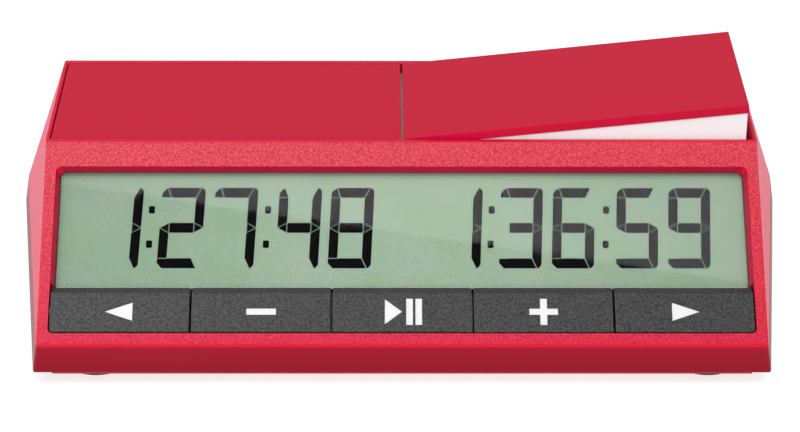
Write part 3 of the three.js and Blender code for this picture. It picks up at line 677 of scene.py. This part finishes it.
# A seven-segment digit as the display draws it, in millimetres from its lower left corner:
# heavy bars with cut corners, parted by hairlines. The upper left corner is a piece of its
# own, and so are the two wedges beside the middle bar.
DIGIT_HEIGHT = 18.5
DIGIT_MIDDLE = 27.95
DIGIT_LOW = DIGIT_MIDDLE - DIGIT_HEIGHT / 2
BAR = 2.25
POST = 1.95
HAIR = 0.075
SLIP = 1.3 * HAIR  # the same hairline along a bar that it crosses at a slant
LEAN = 0.044


def digit_pieces(width):
    """The outlines of a digit's segments by name, for a digit of the given width."""
    top, mid = DIGIT_HEIGHT, DIGIT_HEIGHT / 2
    inner_top, inner_low = top - BAR, BAR
    half = BAR / 2
    right = width - POST
    cut = 0.75
    return {
        "corner": [
            (0, inner_top + HAIR), (0, top - 1.2), (1.05, top), (1.15 - SLIP, top),
            (2.0 - SLIP, inner_top + HAIR),
        ],
        "top": [
            (1.15 + SLIP, top), (2.0 + SLIP, inner_top), (right - 0.05 - SLIP, inner_top),
            (width - 0.92 - SLIP, top),
        ],
        "upper_right": [
            (width - 0.92 + SLIP, top), (right - 0.05 + SLIP, inner_top),
            (right, inner_top - 0.1), (right, mid + half + SLIP), (width, mid + SLIP),
            (width, top - cut), (width - 0.65, top),
        ],
        "upper_left": [
            (0, inner_top - HAIR), (POST, inner_top - HAIR), (POST, mid + half + SLIP),
            (0, mid + SLIP),
        ],
        "wedge_left": [
            (0.12, mid), (POST - HAIR, mid + half - 0.08), (POST - HAIR, mid - half + 0.08),
        ],
        "middle": [
            (POST + HAIR, mid - half), (right - HAIR, mid - half), (right - HAIR, mid + half),
            (POST + HAIR, mid + half),
        ],
        "wedge_right": [
            (width - 0.12, mid), (right + HAIR, mid + half - 0.08),
            (right + HAIR, mid - half + 0.08),
        ],
        "lower_left": [
            (0, mid - SLIP), (POST, mid - half - SLIP), (POST, inner_low + HAIR),
            (0, inner_low + HAIR),
        ],
        "bottom": [
            (0, inner_low - HAIR), (0, 1.2), (1.05, 0), (width - 0.92 - SLIP, 0),
            (right - 0.05 - SLIP, inner_low), (POST + 0.1, inner_low),
            (POST + 0.1, inner_low - HAIR),
        ],
        "lower_right": [
            (width - 0.92 + SLIP, 0), (width - 0.65, 0), (width, cut), (width, mid - SLIP),
            (right, mid - half - SLIP), (right, inner_low + 0.1),
            (right - 0.05 + SLIP, inner_low),
        ],
    }


# What is switched on for each digit.
MIDDLE = ["wedge_left", "middle", "wedge_right"]
LIT = {
    "1": ["upper_right", "wedge_right", "lower_right"],
    "2": ["corner", "top", "upper_right", *MIDDLE, "lower_left", "bottom"],
    "3": ["corner", "top", "upper_right", "wedge_right", "middle", "lower_right", "bottom"],
    "4": ["corner", "upper_left", *MIDDLE, "upper_right", "lower_right"],
    "5": ["corner", "top", "upper_left", *MIDDLE, "lower_right", "bottom"],
    "6": ["corner", "top", "upper_left", *MIDDLE, "lower_left", "lower_right", "bottom"],
    "7": ["corner", "top", "upper_right", "wedge_right", "lower_right"],
    "8": [
        "corner", "top", "upper_left", "upper_right", *MIDDLE, "lower_left", "lower_right",
        "bottom",
    ],
    "9": ["corner", "top", "upper_left", "upper_right", *MIDDLE, "lower_right", "bottom"],
}
# Digit, and the left and right edge of its box at its middle height.
LEFT_TIME = [
    ("1", -63.6, -54.65), ("2", -50.75, -41.65), ("7", -39.65, -30.6), ("4", -26.1, -17.15),
    ("8", -15.15, -6.15),
]
RIGHT_TIME = [
    ("1", 7.85, 16.7), ("3", 20.55, 29.4), ("6", 31.55, 40.35), ("5", 44.95, 53.7),
    ("9", 55.85, 64.65),
]
LEFT_COLONS = [-52.68, -28.28]
RIGHT_COLONS = [18.68, 42.74]
COLON_HEIGHTS = [32.1, 24.18]
COLON_SIZE = (1.28, 1.7)
COLON_CORNER = 0.28

# The depths of the layers behind the window, back and front, and how far they reach.
# Painted shade: a black sheet behind the film, whose rim shows as a dark shadow line round the
# film.
SHADE_SHEET = (-3.48, -3.455)
SHADE_SHEET_HALF_WIDTH = 72.8
SHADE_SHEET_SPAN = (14.2, 41.2)
FILM = (-3.44, -3.42)
FILM_HALF_WIDTH = 71.85
FILM_SPAN = (14.2, 40.72)
SEGMENTS = (-3.41, -3.38)


def slab_from(bm, outline, back, front):
    """Adds a closed flat slab with the given outline in face coordinates."""
    lower = [bm.verts.new(face_point(x, s, back)) for x, s in outline]
    upper = [bm.verts.new(face_point(x, s, front)) for x, s in outline]
    bm.faces.new(lower[::-1])
    bm.faces.new(upper)
    for i in range(len(outline)):
        j = (i + 1) % len(outline)
        bm.faces.new((lower[i], lower[j], upper[j], upper[i]))


def anticlockwise(outline):
    area = sum(a[0] * b[1] - b[0] * a[1] for a, b in zip(outline, outline[1:] + outline[:1]))
    return outline if area > 0 else outline[::-1]


CORNER_STEPS = 3


def soft_rectangle(x, s, width, height, corner):
    """The outline of a rectangle about (x, s) with round corners."""
    points = []
    for cx, cs, start in ((1, 1, 0), (-1, 1, 1), (-1, -1, 2), (1, -1, 3)):
        for i in range(CORNER_STEPS + 1):
            angle = math.pi / 2 * (start + i / CORNER_STEPS)
            points.append((
                x + cx * (width / 2 - corner) + corner * math.cos(angle),
                s + cs * (height / 2 - corner) + corner * math.sin(angle),
            ))
    return points


def leaning(u, v):
    """The place on the face of a point of a digit, slanted as the digits are."""
    return (u + LEAN * (v + DIGIT_LOW - DIGIT_MIDDLE), v + DIGIT_LOW)


def time_display(name, digits, colons):
    """One player's time as a single piece."""
    bm = bmesh.new()
    for sign, left, right in digits:
        outlines = digit_pieces(right - left)
        for part in LIT[sign]:
            outline = [leaning(left + u, v) for u, v in outlines[part]]
            slab_from(bm, anticlockwise(outline), *SEGMENTS)
    for x in colons:
        for s in COLON_HEIGHTS:
            centre = x + LEAN * (s - DIGIT_MIDDLE)
            dot = soft_rectangle(centre, s, *COLON_SIZE, COLON_CORNER)
            slab_from(bm, anticlockwise(dot), *SEGMENTS)
    finished(name, bm, "segment", "case")


def display_sheet(name, half_width, span, depths, corner, material):
    """A thin sheet with round corners that fills the opening behind the window."""
    bm = bmesh.new()
    size = (2 * half_width, span[1] - span[0])
    outline = soft_rectangle(0, (span[0] + span[1]) / 2, *size, corner)
    slab_from(bm, anticlockwise(outline), *depths)
    finished(name, bm, material, "case")


# The front polariser lies over the glass, and a black sheet behind it shows as a thin dark line
# round its edge: painted shade where the walls of the opening meet the display.
display_sheet(
    "display_shade_sheet", SHADE_SHEET_HALF_WIDTH, SHADE_SHEET_SPAN, SHADE_SHEET, 0.3, "black"
)
display_sheet("display_film", FILM_HALF_WIDTH, FILM_SPAN, FILM, 1.0, "display")

time_display("segments_left", LEFT_TIME, LEFT_COLONS)
time_display("segments_right", RIGHT_TIME, RIGHT_COLONS)


# ---- signs on the keys -----------------------------------------------------------------

def arrow(tip, tail, half):
    return anticlockwise([(tail, -half), (tail, half), (tip, 0.0)])


def bar(x0, x1, half):
    return [(x0, -half), (x1, -half), (x1, half), (x0, half)]


# The signs fill the hollows sunk into the keys, a little smaller and lower than these.
# Outlines are in millimetres from the middle of the key.
SIGN_CENTRE = 7.6
SIGN_DEPTHS = (-0.29, -0.21)
SIGN_FIT = 0.985
SIGNS = {
    "key_back": [arrow(-3.25, 2.65, 2.1)],
    "key_minus": [bar(-3.1, 3.1, 0.75)],
    "key_play_pause": [arrow(0.0, -3.7, 2.9), bar(0.75, 2.2, 3.0), bar(2.65, 4.1, 3.0)],
    "key_plus": [
        [
            (-3.0, -0.75), (-0.75, -0.75), (-0.75, -3.0), (0.75, -3.0), (0.75, -0.75),
            (3.0, -0.75), (3.0, 0.75), (0.75, 0.75), (0.75, 3.0), (-0.75, 3.0), (-0.75, 0.75),
            (-3.0, 0.75),
        ]
    ],
    "key_forward": [arrow(3.25, -2.65, 2.1)],
}
for key_name, outlines in SIGNS.items():
    low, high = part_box(key_name)
    centre = (low.x + high.x) / 2 / MM
    bm = bmesh.new()
    for outline in outlines:
        placed = [(centre + a * SIGN_FIT, SIGN_CENTRE + b * SIGN_FIT) for a, b in outline]
        slab_from(bm, placed, *SIGN_DEPTHS)
    sign = finished(key_name + "_sign", bm, "sign", key_name)
    add_bevel(sign, 0.05, 2)


# ---- carried-over CAD nodes ------------------------------------------------------------

# The material of each node and the rounding of its edges in millimetres.
CARRIED = {
    "display_window": ("window", 0.0),
    "lcd_panel": ("display", 0.0),
    "display_carrier": ("carrier", 0.15),
    "zebra_strip_lower": ("zebra", 0.1),
    "zebra_strip_upper": ("zebra", 0.1),
    "main_circuit_board": ("board", 0.05),
    "microcontroller": ("chip", 0.08),
    "crystal": ("steel", 0.5),
    "capacitor": ("blue", 0.3),
    "buzzer": ("black", 0.3),
    "keypad_mat": ("silicone", 0.15),
    "battery_tray": ("black", 0.25),
    "negative_contact": ("steel", 0.0),
    "positive_contact": ("steel", 0.1),
    "battery_lead_negative": ("lead_black", 0.0),
    "battery_lead_positive": ("lead_red", 0.0),
    "power_switch": ("black", 0.2),
    "power_button": ("black", 0.25),
    "rocker_axle": ("axle", 0.25),
    "detent_spring": ("steel", 0.05),
    "sensor_board": ("board", 0.05),
    "sensor_pad_left": ("dark_silicone", 0.2),
    "sensor_pad_right": ("dark_silicone", 0.2),
}
for side_name in ("left", "right"):
    for row in ("front", "rear"):
        CARRIED["case_screw_%s_%s" % (row, side_name)] = ("screw", 0.12)
    for row in ("lower", "upper"):
        CARRIED["board_screw_%s_%s" % (row, side_name)] = ("screw", 0.1)
for node, (material, width) in CARRIED.items():
    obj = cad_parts[node]
    for material_slot in obj.material_slots:
        material_slot.material = M[material]
    weld = obj.modifiers.new("join_corners", "WELD")
    weld.merge_threshold = JOIN_DISTANCE
    if width:
        flat = obj.modifiers.new("merge_flats", "DECIMATE")
        flat.decimate_type = "DISSOLVE"
        flat.angle_limit = FLAT_ANGLE
        add_bevel(obj, width, 2)

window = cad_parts["display_window"]
window.visible_shadow = False
window.visible_diffuse = False


# ---- floor, light ----------------------------------------------------------------------

def stage_plane(name, corners, material):
    mesh = bpy.data.meshes.new(name)
    mesh.from_pydata([tuple(c) for c in corners], [], [tuple(range(len(corners)))])
    mesh.materials.append(material)
    plane = link(name, mesh)
    plane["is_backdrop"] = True
    return plane


REACH = 4.0
floor = stage_plane(
    "floor",
    [(-REACH, -REACH, 0), (REACH, -REACH, 0), (REACH, REACH, 0), (-REACH, REACH, 0)],
    Nodes(
        "floor_white",
        Roughness=0.9,
        Base_Color=(0.55, 0.55, 0.55, 1),
        Specular_IOR_Level=0.0,
        Emission_Color=(1, 1, 1, 1),
        Emission_Strength=0.68,
    ).material,
)
floor.visible_diffuse = False

world = bpy.data.worlds.new("studio")
bpy.context.scene.world = world
world.use_nodes = True
world.node_tree.nodes["Background"].inputs["Color"].default_value = (1, 1, 1, 1)
world.node_tree.nodes["Background"].inputs["Strength"].default_value = 0.40

MIDDLE_OF_CLOCK = (0, 0, 20 * MM)


def lamp(name, location, target, size, radiance, in_gloss):
    """A rectangular lamp that shows only in gloss, or only lights what isn't glossy."""
    data = bpy.data.lights.new(name, "AREA")
    data.shape = "RECTANGLE"
    data.size, data.size_y = size
    data.energy = radiance * size[0] * size[1] * math.pi
    obj = link(name, data)
    obj.location = location
    obj.rotation_euler = (Vector(target) - Vector(location)).to_track_quat("-Z", "Y").to_euler()
    if in_gloss:
        obj.visible_diffuse = False
    else:
        obj.visible_glossy = False
        obj.visible_transmission = False
    return obj


WINDOW_FRONT = -2.3  # depth of the window's outer face, in millimetres


def mirrored_at(x, s, height):
    """Where the camera sees the given height mirrored in the window at (x, s)."""
    point = face_point(x, s, WINDOW_FRONT)
    ray = (point - camera.location).normalized()
    out = ray - 2 * ray.dot(FACE_NORMAL) * FACE_NORMAL
    return point + out * ((height - point.z) / out.z)


# A softbox overhead ends along a slanting edge that shows in the display window as the
# border between its bright and its dark part.
CEILING = 0.9
SOFTBOX = (1.1, 0.5)
SOFTBOX_SHIFT = 0.28
edge_left = mirrored_at(-71.9, 38.0, CEILING)
edge_right = mirrored_at(72.3, 15.2, CEILING)
edge_way = (edge_right - edge_left).normalized()
away = Vector((-edge_way.y, edge_way.x, 0))
softbox_centre = (edge_left + edge_right) / 2 + away * SOFTBOX[1] / 2 - edge_way * SOFTBOX_SHIFT
softbox = lamp("softbox", softbox_centre, softbox_centre - Vector((0, 0, 1)), SOFTBOX, 2.6, True)
softbox.rotation_euler = (0, 0, math.atan2(edge_way.y, edge_way.x))

# A dark flag beyond that edge is seen only in gloss.
FLAG_OVERHANG = edge_way * 0.5
FLAG_DEPTH = away * 0.8
FLAG_DROP = Vector((0, 0, -0.001))
flag = stage_plane(
    "flag",
    [
        edge_left - FLAG_OVERHANG + FLAG_DROP,
        edge_right + FLAG_OVERHANG + FLAG_DROP,
        edge_right + FLAG_OVERHANG - FLAG_DEPTH,
        edge_left - FLAG_OVERHANG - FLAG_DEPTH,
    ],
    Nodes(
        "flag_black", Roughness=1.0, Base_Color=(0, 0, 0, 1), Specular_IOR_Level=0.0
    ).material,
)
flag.visible_camera = False
flag.visible_diffuse = False
flag.visible_shadow = False
flag.visible_transmission = False

# A low lamp on the left adds to the gloss there and fades towards the right. The other lamps
# are broad: one over the camera, one above and in front for the flat tops and the display,
# and a weaker one behind that keeps the back of the clock from going dull.
lamp("glow", (-0.42, -0.10, 0.36), (-0.07, -0.01, 0.02), (0.5, 0.7), 3.6, True)
lamp("front_light", (-0.1, -1.5, 0.55), MIDDLE_OF_CLOCK, (2.4, 0.8), 2.6, False)
lamp("top_light", (-0.05, -0.5, 1.0), MIDDLE_OF_CLOCK, (1.2, 0.6), 3.1, False)
lamp("back_light", (0.1, 1.4, 0.6), MIDDLE_OF_CLOCK, (1.6, 0.7), 1.6, False)


# ---- size ------------------------------------------------------------------------------

bpy.context.view_layer.update()
low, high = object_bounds()
